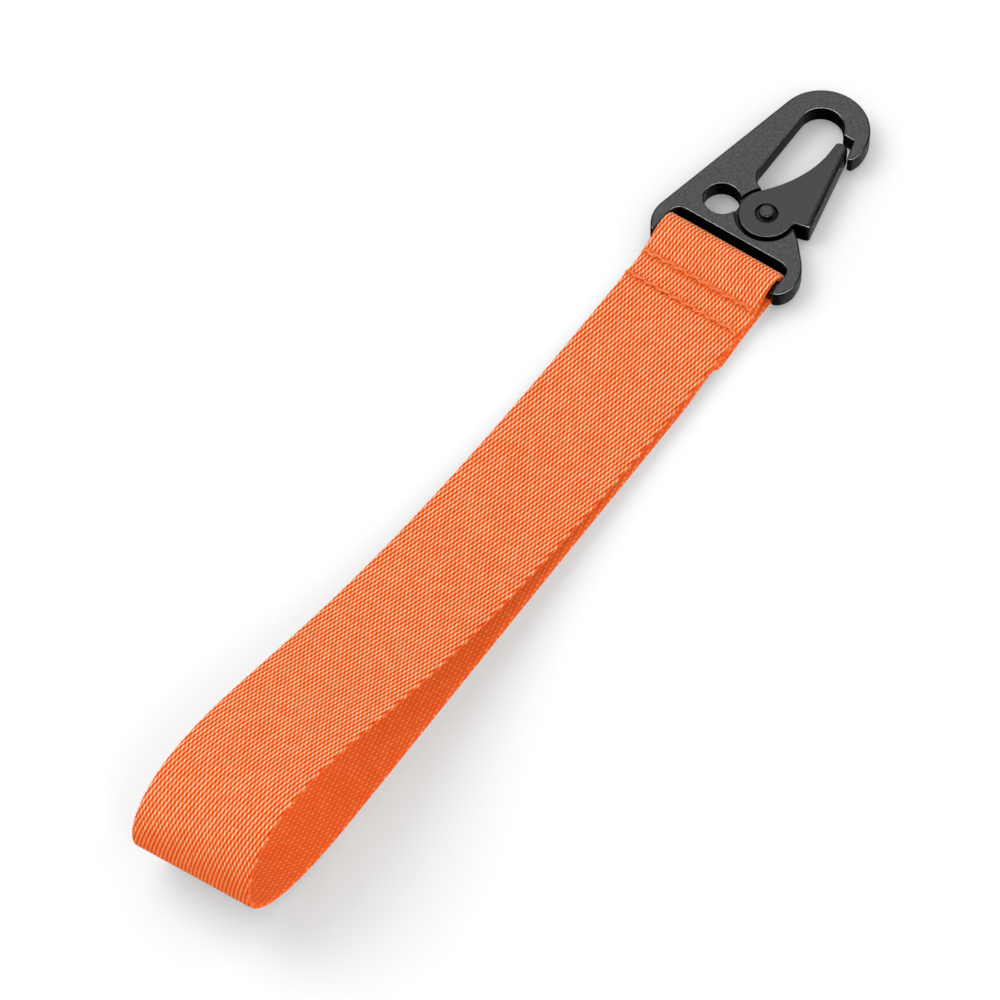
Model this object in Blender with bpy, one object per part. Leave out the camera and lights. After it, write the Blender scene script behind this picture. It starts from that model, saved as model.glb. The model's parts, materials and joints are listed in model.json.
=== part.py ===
"""Wrist-loop keyring: a flat cast snap hook with a sprung gate, on a sewn loop of 25 mm webbing.

Blender 4.5, metres, +Z up. X runs across the webbing, +Y points from the loop to the hook, and the
origin lies on the resting plane under the middle of the bar that the webbing turns on.
Outlines are written in millimetres as (x, y, corner radius) and scaled once, in solid_from_outline.
"""

import math

import bmesh
import bpy
from mathutils import Vector

MM = 0.001

# Webbing
WEB_WIDTH = 25.0
WEB_THICK = 1.1
LAYER_GAP = 0.15
FOLD_RADIUS = 2.3  # inner radius of the fold round the bar
BAR_RADIUS = 1.95
BAR_SINK = 0.65  # how far the bar's ends run into the lobes
BAR_Z = WEB_THICK + FOLD_RADIUS
FOLD_FLAT_Y = 0.8  # the webbing lies flat on the floor up to here, then turns up round the bar
TAIL_END_Y = -19.6  # cut end that comes back under the bar
TONGUE_END_Y = -5.2  # other cut end, held inside the fold
LOOP_END_Y = -166.4
LOOP_TOP_Y = -153.5
LOOP_TOP_Z = 28.15
LOOP_ROLL = 0.09  # the raised loop leans: its right edge is higher by this share, its left edge lower
LOOP_YAW = 0.2  # its far end is turned this much at each edge
LOOP_SHIFT = -0.25  # and the whole loop lies this far to the left of the hook
LEAN_FROM_Y, LEAN_FULL_Y = -25.0, -70.0
END_CORNER = 1.6  # rounding of the two cut ends, in plan

# Stitching
ROW_Y = {"front": -6.5, "rear": -12.0}
STITCHES = 8
STITCH_PITCH = 2.75
THREAD_RADIUS = 0.2
HOLE_RADIUS = 0.52
THREAD_GAP = 0.12
CHANNEL_HALF_WIDTH = 0.45  # the threads pull a channel into both outer faces
TOP_CHANNEL = 0.3
UNDER_CHANNEL = 0.55
THREAD_LOCK_Z = 1.8  # height at which the two threads of a row meet

CUT_PAST = 1.0  # how far a cutter runs past the face that it opens

# Hook frame
PLATE_THICK = 4.0
PLATE_EDGE = 0.5
SLOT_SIDES = (-12.85, 12.9)  # where the webbing passes between the lobes
WEB_PLATE_THICK = 2.8  # the thinned web between the gate's cheeks
PIVOT = (2.6, 12.35)
RECESS_RADIUS = 6.15
EYE_RADIUS = 4.6
EYE_HOLE_RADIUS = 1.8
ROUND_HOLE = (-6.33, 10.75)
ROUND_HOLE_RADIUS = 3.5
HOLE_FLARE = 0.25
HOOK_CENTRE = (0.42, 34.7)
HOOK_RADIUS = 9.1
OPENING_CENTRE = (-0.05, 35.15)
OPENING_RADIUS = 4.25
SIDE_SLANT = 11.9  # degrees between the straight left side and +Y

# Gate
GATE_THICK = 5.0
CHEEK_THICK = 0.8
SPINE_THICK = 0.8
DISC_RADIUS = 5.3
SPINE_FOOT = (11.05, 14.5)  # a point on the spine's outer face
SPINE_BEND = 0.85
SHEET_EDGE = 0.2
TIP_Y = 33.7
COUNTERBORE_RADIUS = 2.2
COUNTERBORE_DEPTH = 0.5

# Rivet and spring
SHANK_RADIUS = 1.5
HEAD_RADIUS = 1.95
HEAD_FLAT_RADIUS = 1.25
POCKET_RADIUS = 2.95
POCKET_ROOF = 4.1
WIRE_RADIUS = 0.22
WIRE_ROOM = 0.35  # clearance round the spring's legs
COIL_RADIUS = 2.35
COIL_TURNS = 2.4
COIL_LOW_Z = 2.2
COIL_HIGH_Z = 3.6
MOVING_LEG = 12.4
FIXED_LEG = 3.2
MOVING_LEG_ANGLE = 78.0  # degrees from +X, along the inside of the spine

BLACK = ((0.035, 0.036, 0.038, 1.0), 0.45, 0.6)
STEEL = ((0.55, 0.55, 0.56, 1.0), 0.3, 1.0)
ORANGE = ((0.85, 0.17, 0.045, 1.0), 0.75, 0.0)
ORANGE_THREAD = ((0.9, 0.22, 0.07, 1.0), 0.6, 0.0)


# ---------------------------------------------------------------- helpers

def clear_scene():
    for obj in list(bpy.data.objects):
        bpy.data.objects.remove(obj, do_unlink=True)


def material(name, look):
    color, roughness, metallic = look
    made = bpy.data.materials.new(name)
    made.use_nodes = True
    shader = made.node_tree.nodes["Principled BSDF"]
    shader.inputs["Base Color"].default_value = color
    shader.inputs["Roughness"].default_value = roughness
    shader.inputs["Metallic"].default_value = metallic
    return made


def link(name, data, look=None):
    obj = bpy.data.objects.new(name, data)
    bpy.context.scene.collection.objects.link(obj)
    if look:
        data.materials.append(material(name, look))
    return obj


def as_helper(obj):
    """Marks a cutter: it shapes another object and is not a part."""
    obj.hide_render = True
    obj.display_type = "WIRE"
    return obj


def arc(centre, radius, start, end, step=6.0):
    """Points of a circular arc between two angles in degrees, both ends included."""
    count = max(2, math.ceil(abs(end - start) / step) + 1)
    angles = [math.radians(start + (end - start) * i / (count - 1)) for i in range(count)]
    return [(centre[0] + radius * math.cos(a), centre[1] + radius * math.sin(a)) for a in angles]


def bezier(p0, p1, p2, p3, count):
    """Points of a cubic curve, both ends included."""
    found = []
    for i in range(count + 1):
        t = i / count
        s = 1.0 - t
        weights = (s**3, 3 * s * s * t, 3 * s * t * t, t**3)
        found.append(tuple(sum(w * p[k] for w, p in zip(weights, (p0, p1, p2, p3))) for k in (0, 1)))
    return found


def rounded(corners, step=15.0):
    """A closed outline from (x, y) points and (x, y, radius) corners, each corner turned into an arc."""
    found = []
    for i, corner in enumerate(corners):
        here = Vector(corner[:2])
        if len(corner) == 2:
            found.append(tuple(here))
            continue
        before = (Vector(corners[i - 1][:2]) - here).normalized()
        after = (Vector(corners[(i + 1) % len(corners)][:2]) - here).normalized()
        half = before.angle(after) / 2
        centre = here + (before + after).normalized() * corner[2] / math.sin(half)
        reach = corner[2] / math.tan(half)
        first, last = here + before * reach - centre, here + after * reach - centre
        turn = math.degrees(first.angle_signed(last))
        start = math.degrees(math.atan2(first.y, first.x))
        found += arc(centre, corner[2], start, start - turn, step)
    return found


def solid_from_outline(name, outline, low_z, high_z, look=None):
    """Extrudes a counter-clockwise outline in millimetres between two heights."""
    bm = bmesh.new()
    base = bm.faces.new([bm.verts.new((x * MM, y * MM, low_z * MM)) for x, y in outline])
    grown = bmesh.ops.extrude_face_region(bm, geom=[base])["geom"]
    raised = [v for v in grown if isinstance(v, bmesh.types.BMVert)]
    bmesh.ops.translate(bm, verts=raised, vec=(0, 0, (high_z - low_z) * MM))
    bmesh.ops.recalc_face_normals(bm, faces=bm.faces)
    mesh = bpy.data.meshes.new(name)
    bm.to_mesh(mesh)
    bm.free()
    return link(name, mesh, look)


def lathe(name, profile, centre, look=None, steps=40):
    """Turns (radius, z) points, in millimetres from bottom to top, round a vertical axis at centre."""
    bm = bmesh.new()
    verts = [bm.verts.new((r * MM, 0, z * MM)) for r, z in profile]
    edges = [bm.edges.new(pair) for pair in zip(verts, verts[1:])]
    bmesh.ops.spin(bm, geom=verts + edges, cent=(0, 0, 0), axis=(0, 0, 1), angle=math.tau, steps=steps,
                   use_merge=True)
    bmesh.ops.remove_doubles(bm, verts=bm.verts, dist=0.001 * MM)
    bmesh.ops.recalc_face_normals(bm, faces=bm.faces)
    mesh = bpy.data.meshes.new(name)
    bm.to_mesh(mesh)
    bm.free()
    obj = link(name, mesh, look)
    obj.location = (centre[0] * MM, centre[1] * MM, 0)
    return obj


def boolean(obj, other, operation="DIFFERENCE"):
    modifier = obj.modifiers.new(operation.title() + " " + other.name, "BOOLEAN")
    modifier.operation = operation
    modifier.solver = "EXACT"
    modifier.object = as_helper(other)


def shade(obj, angle=35.0):
    obj.data.shade_smooth()
    obj.data.set_sharp_from_angle(angle=math.radians(angle))


def groove_outline(start, angle, length, width):
    """A slot with square ends from start, in the direction angle, as a counter-clockwise outline."""
    along = Vector((math.cos(math.radians(angle)), math.sin(math.radians(angle))))
    side = Vector((-along.y, along.x)) * width / 2
    near, far = Vector(start), Vector(start) + along * length
    return [tuple(near - side), tuple(far - side), tuple(far + side), tuple(near + side)]


# ---------------------------------------------------------------- hook frame

def frame_outline():
    """The casting seen from above: one closed line round hook, nose, opening, eye, horn and lobes."""
    slot_corner = 2.2
    left, right = SLOT_SIDES
    slot = [(left, -2.9, 0.5), (left, 5.0, slot_corner), (right, 5.0, slot_corner), (right, -2.1, 0.5)]
    right_lobe = arc((11.2, 2.0), 4.6, -48, 0) + [(15.8, 5.0, 7.5), (10.7, 10.8, 6.0)]
    horn = [(8.35, 12.85, 0.5), (7.25, 12.6, 0.4)]
    eye = arc(PIVOT, EYE_RADIUS, 14, 112, 9)
    opening = [(OPENING_CENTRE[0] - OPENING_RADIUS, 16.95, 3.8)]
    opening += arc(OPENING_CENTRE, OPENING_RADIUS, 180, 27, 8)
    nose = [(4.4, 35.95, 0.5), (6.75, 35.95, 0.4), (7.95, 31.6, 0.45), (8.95, 31.95, 0.5)]
    hook = arc(HOOK_CENTRE, HOOK_RADIUS, -8, 180 - SIDE_SLANT, 5)
    left_lobe = arc((-8.8, 2.2), 6.6, 180 - SIDE_SLANT, 222)
    return rounded(slot + right_lobe + horn + eye + opening + nose + hook + left_lobe)


def flared_hole(name, centre, radius, low_z, high_z, flare):
    """A cutter for a through hole whose rims are rounded by flare."""
    rim = [(radius + flare * (1 - math.cos(a)), flare * math.sin(a)) for a in (0.0, 0.5, 1.0, 1.35)]
    upper = [(r, high_z - flare + z) for r, z in rim]
    lower = [(r, low_z + flare - z) for r, z in reversed(rim)]
    profile = [(0, low_z - CUT_PAST), (lower[0][0] + flare, low_z - CUT_PAST)] + lower
    profile += upper + [(upper[-1][0] + flare, high_z + CUT_PAST), (0, high_z + CUT_PAST)]
    return lathe(name, profile, centre)


def add_hook_frame():
    low, high = BAR_Z - PLATE_THICK / 2, BAR_Z + PLATE_THICK / 2
    web_low, web_high = BAR_Z - WEB_PLATE_THICK / 2, BAR_Z + WEB_PLATE_THICK / 2
    frame = solid_from_outline("hook_frame", frame_outline(), low, high, BLACK)
    edge = frame.modifiers.new("Rounded edge", "BEVEL")
    edge.width = PLATE_EDGE * MM
    edge.segments = 3
    edge.limit_method = "ANGLE"
    edge.angle_limit = math.radians(60)

    for side, z0, z1 in (("upper", web_high, high + CUT_PAST), ("lower", low - CUT_PAST, web_low)):
        disc = [(0, z0), (RECESS_RADIUS, z0), (RECESS_RADIUS, z1), (0, z1)]
        boolean(frame, lathe(f"recess_{side}", disc, PIVOT, steps=60))
    eye_hole = [(0, low), (EYE_HOLE_RADIUS, low), (EYE_HOLE_RADIUS, high), (0, high)]
    boolean(frame, lathe("eye_hole", eye_hole, PIVOT, steps=32))
    boolean(frame, flared_hole("round_hole", ROUND_HOLE, ROUND_HOLE_RADIUS, low, high, HOLE_FLARE))

    cut_spring_room(frame, low)
    boolean(frame, webbing_bar(), "UNION")
    shade(frame)


def cut_spring_room(frame, low):
    """The pocket round the rivet for the spring's coil, and a groove for each of its legs."""
    pocket = [(0, low), (POCKET_RADIUS, low), (POCKET_RADIUS, POCKET_ROOF), (0, POCKET_ROOF)]
    boolean(frame, lathe("spring_pocket", pocket, PIVOT, steps=36))
    width = 2 * (WIRE_RADIUS + WIRE_ROOM)
    moving, fixed = leg_starts()
    exit_groove = groove_outline(moving[0], MOVING_LEG_ANGLE, MOVING_LEG / 2, width)
    boolean(frame, solid_from_outline("leg_exit", exit_groove, low, COIL_LOW_Z + width / 2))
    anchor_groove = groove_outline(fixed[0], fixed[1], FIXED_LEG + WIRE_ROOM, width)
    roof = POCKET_ROOF - 0.01  # just off the pocket's roof, so that the two cuts share no plane
    boolean(frame, solid_from_outline("leg_anchor", anchor_groove, low, roof))


def webbing_bar():
    """The round bar across the slot, cast in one with the frame."""
    left, right = SLOT_SIDES
    bpy.ops.mesh.primitive_cylinder_add(vertices=40, radius=BAR_RADIUS * MM,
                                        depth=(right - left + 2 * BAR_SINK) * MM,
                                        location=((left + right) / 2 * MM, 0, BAR_Z * MM),
                                        rotation=(0, math.pi / 2, 0))
    bar = bpy.context.active_object
    bar.name = "bar"
    return bar


# ---------------------------------------------------------------- gate

def spine_x(y, inset=0.0):
    """Where the spine's outer face, moved inwards by inset, stands at height y of the plan."""
    slant = math.radians(SIDE_SLANT)
    return SPINE_FOOT[0] - math.tan(slant) * (y - SPINE_FOOT[1]) - inset / math.cos(slant)


def gate_outline():
    """The gate seen from above, with its disc round the pivot at the origin of the hinge."""
    disc = arc(PIVOT, DISC_RADIUS, 137, 362, 7)
    foot = [(8.05, 13.5, 0.5), (spine_x(14.25), 14.25, 0.5)]
    tip = [(spine_x(TIP_Y), TIP_Y, 0.9), (4.6, TIP_Y, 0.9)]
    inner_edge = bezier((4.65, 30.5), (4.65, 25.0), (1.9, 19.6), disc[0], 12)[:-1]
    return rounded(disc + foot + tip + inner_edge)


def weigh_bend(gate):
    """Bevel weights: full along the spine's bend, small on every other edge of the sheet."""
    mesh = gate.data
    weights = mesh.attributes.new("bevel_weight_edge", "FLOAT", "EDGE")
    for edge in mesh.edges:
        a, b = (mesh.vertices[i].co for i in edge.vertices)
        if abs(a.z - b.z) > 0.1 * MM:
            continue
        middle = (a + b) / (2 * MM)
        reach = spine_x(middle.y) - middle.x
        share = max(0.0, 1.0 - reach / 0.9) if middle.y > SPINE_FOOT[1] - 0.6 else 0.0
        weights.data[edge.index].value = max(SHEET_EDGE / SPINE_BEND, share)


def add_gate_lever():
    low, high = BAR_Z - GATE_THICK / 2, BAR_Z + GATE_THICK / 2
    gate = solid_from_outline("gate_lever", gate_outline(), low, high, BLACK)
    weigh_bend(gate)
    bend = gate.modifiers.new("Bend", "BEVEL")
    bend.width = SPINE_BEND * MM
    bend.segments = 4
    bend.limit_method = "WEIGHT"
    bend.use_clamp_overlap = False

    far_x, near_y, far_y = -20, 0, 40  # past the gate on its three open sides
    hollow = [(far_x, near_y), (spine_x(near_y, SPINE_THICK), near_y),
              (spine_x(far_y, SPINE_THICK), far_y), (far_x, far_y)]
    boolean(gate, solid_from_outline("gate_hollow", hollow, low + CHEEK_THICK, high - CHEEK_THICK))
    half = GATE_THICK / 2
    upper = [(EYE_HOLE_RADIUS, half - COUNTERBORE_DEPTH), (COUNTERBORE_RADIUS, half - COUNTERBORE_DEPTH),
             (COUNTERBORE_RADIUS, half + CUT_PAST), (0, half + CUT_PAST)]
    profile = [(r, BAR_Z - z) for r, z in reversed(upper)] + [(r, BAR_Z + z) for r, z in upper]
    boolean(gate, lathe("rivet_holes", profile, PIVOT))
    move_origin(gate, (PIVOT[0] * MM, PIVOT[1] * MM, BAR_Z * MM))
    shade(gate)


def move_origin(obj, place):
    """Puts the object's origin at place and leaves its mesh where it stands."""
    for vertex in obj.data.vertices:
        vertex.co -= Vector(place)
    obj.location = place


# ---------------------------------------------------------------- rivet and spring

def add_pivot_rivet():
    half = GATE_THICK / 2
    head = [(SHANK_RADIUS, half - 0.25), (HEAD_RADIUS, half - 0.22), (HEAD_RADIUS, half - 0.1),
            (1.66, half - 0.04), (1.6, half + 0.4), (1.52, half + 0.7), (1.42, half + 0.84),
            (HEAD_FLAT_RADIUS, half + 0.9), (0, half + 0.9)]
    upper = [(r, BAR_Z + z) for r, z in head]
    lower = [(r, BAR_Z - z) for r, z in reversed(head)]
    rivet = lathe("pivot_rivet", lower + upper, PIVOT, BLACK)
    shade(rivet, 50.0)


def leg_starts():
    """(point, direction in degrees) where the coil's moving and fixed legs leave it."""
    moving_at = MOVING_LEG_ANGLE - 90.0
    fixed_at = moving_at - COIL_TURNS * 360.0
    found = []
    for at, direction in ((moving_at, MOVING_LEG_ANGLE), (fixed_at, fixed_at - 90.0)):
        a = math.radians(at)
        point = (PIVOT[0] + COIL_RADIUS * math.cos(a), PIVOT[1] + COIL_RADIUS * math.sin(a))
        found.append((point, direction))
    return found


def leg_end(start, length):
    (x, y), direction = start
    a = math.radians(direction)
    return x + length * math.cos(a), y + length * math.sin(a)


def add_torsion_spring():
    moving, fixed = leg_starts()
    steps = round(COIL_TURNS * 16)
    first = math.radians(MOVING_LEG_ANGLE - 90.0 - COIL_TURNS * 360.0)
    points = [(*leg_end(fixed, FIXED_LEG), COIL_HIGH_Z)]
    for i in range(steps + 1):
        a = first + math.tau * COIL_TURNS * i / steps
        z = COIL_HIGH_Z + (COIL_LOW_Z - COIL_HIGH_Z) * i / steps
        points.append((PIVOT[0] + COIL_RADIUS * math.cos(a), PIVOT[1] + COIL_RADIUS * math.sin(a), z))
    points.append((*leg_end(moving, MOVING_LEG), COIL_LOW_Z))

    curve = bpy.data.curves.new("torsion_spring", "CURVE")
    curve.dimensions = "3D"
    curve.bevel_depth = WIRE_RADIUS * MM
    curve.bevel_resolution = 2
    curve.use_fill_caps = True
    line = curve.splines.new("POLY")
    line.points.add(len(points) - 1)
    for point, (x, y, z) in zip(line.points, points):
        point.co = (x * MM, y * MM, z * MM, 1.0)
    link("torsion_spring", curve, STEEL)


# ---------------------------------------------------------------- webbing

def webbing_path():
    """The webbing's middle line as (y, z), from the tail under the bar to the tongue inside the fold."""
    floor_z = WEB_THICK / 2
    stack_z = WEB_THICK * 2.5 + LAYER_GAP * 2
    tongue_z = WEB_THICK * 1.5 + LAYER_GAP
    turn = FOLD_RADIUS + WEB_THICK / 2
    path = bezier((TAIL_END_Y, floor_z), (-13.0, floor_z), (-6.0, floor_z), (FOLD_FLAT_Y, floor_z), 6)
    path += arc((0.0, BAR_Z), turn, -60, 90, 10)
    path += bezier((0.0, BAR_Z + turn), (-3.8, BAR_Z + turn), (-5.2, stack_z), (-9.0, stack_z), 10)[1:]
    path += bezier((-9.0, stack_z), (-15.0, stack_z), (-20.0, stack_z), (-26.0, stack_z), 4)[1:]
    top, end = (LOOP_TOP_Y, LOOP_TOP_Z), (LOOP_END_Y, 16.0)
    path += bezier((-26.0, stack_z), (-110.0, stack_z), (-130.0, LOOP_TOP_Z), top, 24)[1:]
    path += bezier(top, (-161.0, LOOP_TOP_Z), (LOOP_END_Y, 23.0), end, 10)[1:]
    path += bezier(end, (LOOP_END_Y, 6.5), (-155.0, floor_z), (-135.0, floor_z), 14)[1:]
    path += bezier((-135.0, floor_z), (-100.0, floor_z), (-65.0, floor_z), (-31.0, floor_z), 10)[1:]
    path += bezier((-31.0, floor_z), (-27.5, floor_z), (-25.0, tongue_z), (-21.5, tongue_z), 5)[1:]
    path += bezier((-21.5, tongue_z), (-16.0, tongue_z), (-10.0, tongue_z), (TONGUE_END_Y, tongue_z), 6)[1:]
    return [Vector(point) for point in path]


def end_stations(path):
    """(point, tangent, half width) along the webbing, with extra stations where its ends are rounded."""
    stations = []
    count = len(path)
    for i, point in enumerate(path):
        tangent = (path[min(i + 1, count - 1)] - path[max(i - 1, 0)]).normalized()
        stations.append((point, tangent, WEB_WIDTH / 2))
    for at, sign in ((0, 1), (-1, -1)):
        point, tangent, half = stations[at]
        rounding = []
        for angle in (0, 30, 60, 90):
            a = math.radians(angle)
            along = END_CORNER * (1 - math.sin(a)) * sign
            rounding.append((point + tangent * along, tangent, half - END_CORNER * (1 - math.cos(a))))
        rounding.sort(key=lambda s: (s[0] - point).length)
        if sign > 0:
            stations = rounding + stations[1:]
        else:
            stations = stations[:-1] + rounding[::-1]
    return stations


def lean(x, y, z):
    """Where a point of the evenly lofted webbing stands once the loop leans over."""
    share = min(1.0, max(0.0, (y - LEAN_FROM_Y) / (LEAN_FULL_Y - LEAN_FROM_Y)))
    side = x / (WEB_WIDTH / 2)
    far = max(0.0, y / LOOP_END_Y) ** 4
    return x + LOOP_SHIFT * share, y + LOOP_YAW * side * share * far, z * (1.0 + LOOP_ROLL * side * share)


def add_webbing_strap():
    bm = bmesh.new()
    rings = []
    for point, tangent, half in end_stations(webbing_path()):
        side = Vector((-tangent.y, tangent.x)) * WEB_THICK / 2
        ring = []
        for x, offset in ((-half, side), (half, side), (half, -side), (-half, -side)):
            ring.append(bm.verts.new([c * MM for c in lean(x, *(point + offset))]))
        rings.append(ring)
    for ring, after in zip(rings, rings[1:]):
        for k in range(4):
            bm.faces.new((ring[k], ring[(k + 1) % 4], after[(k + 1) % 4], after[k]))
    bm.faces.new(rings[0])
    bm.faces.new(rings[-1])
    bmesh.ops.recalc_face_normals(bm, faces=bm.faces)
    mesh = bpy.data.meshes.new("webbing_strap")
    bm.to_mesh(mesh)
    bm.free()
    strap = link("webbing_strap", mesh, ORANGE)
    for row, y in ROW_Y.items():
        boolean(strap, upright_pins(f"needle_holes_{row}", y, HOLE_RADIUS, -1.0, 9.0, 8))
        boolean(strap, channel(f"under_channel_{row}", y, -1.0, UNDER_CHANNEL))
        boolean(strap, channel(f"top_channel_{row}", y, surface_z(y) - TOP_CHANNEL, 9.0))
    shade(strap)


def channel(name, y, low_z, high_z):
    """A cutter for the straight channel that a stitch row pulls across the webbing."""
    half_x, half_y = WEB_WIDTH / 2 + 1.0, CHANNEL_HALF_WIDTH
    outline = [(-half_x, y - half_y), (half_x, y - half_y), (half_x, y + half_y), (-half_x, y + half_y)]
    return solid_from_outline(name, outline, low_z, high_z)


# ---------------------------------------------------------------- stitching

def stitch_x():
    return [(i - STITCHES / 2) * STITCH_PITCH for i in range(STITCHES + 1)]


def upright_pins(name, y, radius, low_z, high_z, sides=10):
    """One vertical pin at each needle hole of a row."""
    bm = bmesh.new()
    for x in stitch_x():
        pin = bmesh.ops.create_cone(bm, cap_ends=True, segments=sides, radius1=radius * MM,
                                    radius2=radius * MM, depth=(high_z - low_z) * MM)["verts"]
        bmesh.ops.translate(bm, verts=pin, vec=(x * MM, y * MM, (low_z + high_z) / 2 * MM))
    mesh = bpy.data.meshes.new(name)
    bm.to_mesh(mesh)
    bm.free()
    return link(name, mesh)


def surface_z(y):
    """Height of the top run's upper face where a stitch row crosses it."""
    path = webbing_path()
    crest = min(range(len(path)), key=lambda i: (path[i] - Vector((0.0, BAR_Z + FOLD_RADIUS))).length)
    for a, b in zip(path[crest:], path[crest + 1:]):
        if b.x <= y <= a.x:
            share = (y - a.x) / (b.x - a.x)
            steep = (b - a).normalized()
            return a.y + (b.y - a.y) * share + WEB_THICK / 2 / abs(steep.x)
    raise ValueError("the row lies off the top run")


def add_thread(name, y, run_z, lock_z):
    """A thread of one row: a run along the face, with a leg down or up at each needle hole."""
    bpy.ops.mesh.primitive_cylinder_add(vertices=10, radius=THREAD_RADIUS * MM, rotation=(0, math.pi / 2, 0),
                                        depth=(STITCHES * STITCH_PITCH + 2 * THREAD_RADIUS) * MM,
                                        location=(0, y * MM, run_z * MM))
    run = bpy.context.active_object
    run.name = run.data.name = name
    run.data.materials.append(material(name, ORANGE_THREAD))
    low, high = sorted((run_z, lock_z))
    boolean(run, upright_pins(name + "_legs", y, THREAD_RADIUS * 0.9, low, high, 8), "UNION")
    shade(run)


def add_stitching():
    half_gap = 0.15
    lift = THREAD_RADIUS + THREAD_GAP
    for row, y in ROW_Y.items():
        add_thread(f"needle_thread_{row}", y, surface_z(y) - TOP_CHANNEL + lift, THREAD_LOCK_Z + half_gap)
        add_thread(f"bobbin_thread_{row}", y, UNDER_CHANNEL - lift, THREAD_LOCK_Z - half_gap)


def main():
    clear_scene()
    add_hook_frame()
    add_gate_lever()
    add_pivot_rivet()
    add_torsion_spring()
    add_webbing_strap()
    add_stitching()


main()
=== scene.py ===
"""Looks of the wrist-loop keyring: woven webbing, sewing threads and black cast metal on a pale floor.

Lengths are in millimetres in this script and scaled by MM where they meet Blender.  Every piece stands
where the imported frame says.  The frame and the gate keep their CAD meshes and only get a finish here;
the webbing, the threads, the spring and the rivet are replaced by finer meshes in the same places.
"""

import json
import math

import bpy
import numpy as np
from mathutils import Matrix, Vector


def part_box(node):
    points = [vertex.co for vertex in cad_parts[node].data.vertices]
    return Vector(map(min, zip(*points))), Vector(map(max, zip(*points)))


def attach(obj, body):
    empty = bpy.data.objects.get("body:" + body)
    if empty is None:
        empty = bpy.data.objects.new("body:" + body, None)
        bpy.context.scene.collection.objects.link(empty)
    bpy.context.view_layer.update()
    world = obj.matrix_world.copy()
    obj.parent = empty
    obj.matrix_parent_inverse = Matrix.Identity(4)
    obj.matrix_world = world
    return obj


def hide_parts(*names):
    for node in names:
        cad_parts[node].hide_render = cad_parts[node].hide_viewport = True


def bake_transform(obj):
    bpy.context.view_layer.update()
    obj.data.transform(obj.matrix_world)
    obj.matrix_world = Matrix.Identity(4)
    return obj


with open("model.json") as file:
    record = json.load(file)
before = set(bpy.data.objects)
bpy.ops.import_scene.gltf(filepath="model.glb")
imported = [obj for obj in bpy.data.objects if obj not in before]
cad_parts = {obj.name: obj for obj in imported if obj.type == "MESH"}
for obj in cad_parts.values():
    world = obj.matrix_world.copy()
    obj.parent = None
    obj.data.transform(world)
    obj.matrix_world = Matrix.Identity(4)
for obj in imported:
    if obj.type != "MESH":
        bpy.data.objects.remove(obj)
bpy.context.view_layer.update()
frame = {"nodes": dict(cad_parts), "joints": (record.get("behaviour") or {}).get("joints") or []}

MM = 0.001
TAU = math.tau
UP = (0.0, 0.0, 1.0)
WHITE = (1.0, 1.0, 1.0, 1.0)

# Places read from the frame, in millimetres
JOINTS = {joint["name"]: Vector(joint["pos_m"]) / MM for joint in frame["joints"]}
BAR = JOINTS["hook_swing"]
PIVOT = JOINTS["gate_hinge"]


def frame_box(node):
    low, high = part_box(node)
    return low / MM, high / MM


STRAP_LOW, STRAP_HIGH = frame_box("webbing_strap")
ROWS = {row: sum(v.y for v in frame_box(f"needle_thread_{row}")) / 2 for row in ("front", "rear")}

# The frame's openings: start and end of the line along the middle, and how far the walls are from it
HOOK_EYE = ((-0.05, 35.15), (-0.05, 17.0), 4.8)
ROUND_HOLE = ((-6.33, 10.75), (-6.33, 10.8), 4.1)

# Webbing: tail under the bar, fold, sewn stack, top run, loop's end, lower run and tongue
HALF_WIDTH = STRAP_HIGH.x
THICK = 1.1
LAYER_GAP = 0.15
END_CORNER = 1.6  # radius of the rounded corners of both cut ends
CORNER_STATIONS = 7
TAIL_END_Y = -19.6
TAIL_DRIFT = 0.35  # the returned end lies this far to the right under the top run
TAIL_DRIFT_ALONG = (16.0, 28.0)  # and comes over to it between these lengths from the fold's crest
FOLD_FLAT_Y = 0.8  # the webbing lies flat on the floor up to here, then turns up round the bar
FOLD_MIDDLE = BAR.z - THICK / 2  # radius of the webbing's middle line round the bar
FOLD_START = -60.0  # degrees
STACK_Y = -9.0  # the top layer lies flat on the stack from here
STACK_END_Y = -26.0  # to here
LOOP_TURN = 12.9  # the top run starts to bend down this far before the loop's end
LOOP_END_Z = 16.0
LOWER_RUN_Y = -135.0  # the lower run lies flat on the floor from here
TONGUE_FOOT_Y = -31.0  # to here, where it climbs on to the tail
TONGUE_FLAT_Y = -21.5
TONGUE_END_Y = -5.2
LOOP_ROLL = 0.09  # the raised loop leans: its right edge is higher by this share, its left edge lower
LOOP_YAW = 0.2  # its far end is turned this much at each edge
LOOP_SHIFT = -0.25  # and the whole loop lies this far to the left of the hook
LOOP_START_Y = -25.0  # where the leaning starts
LOOP_LEAN_LENGTH = 45.0  # and over what length it grows
TOP_RUN = (-4.0, 60.0)  # lengths from the fold's crest between which the rows show on top
EDGE_WIDTH = 0.5
EDGE_ROUNDING = 0.22 * THICK
EDGE_TEETH = 0.04

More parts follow.
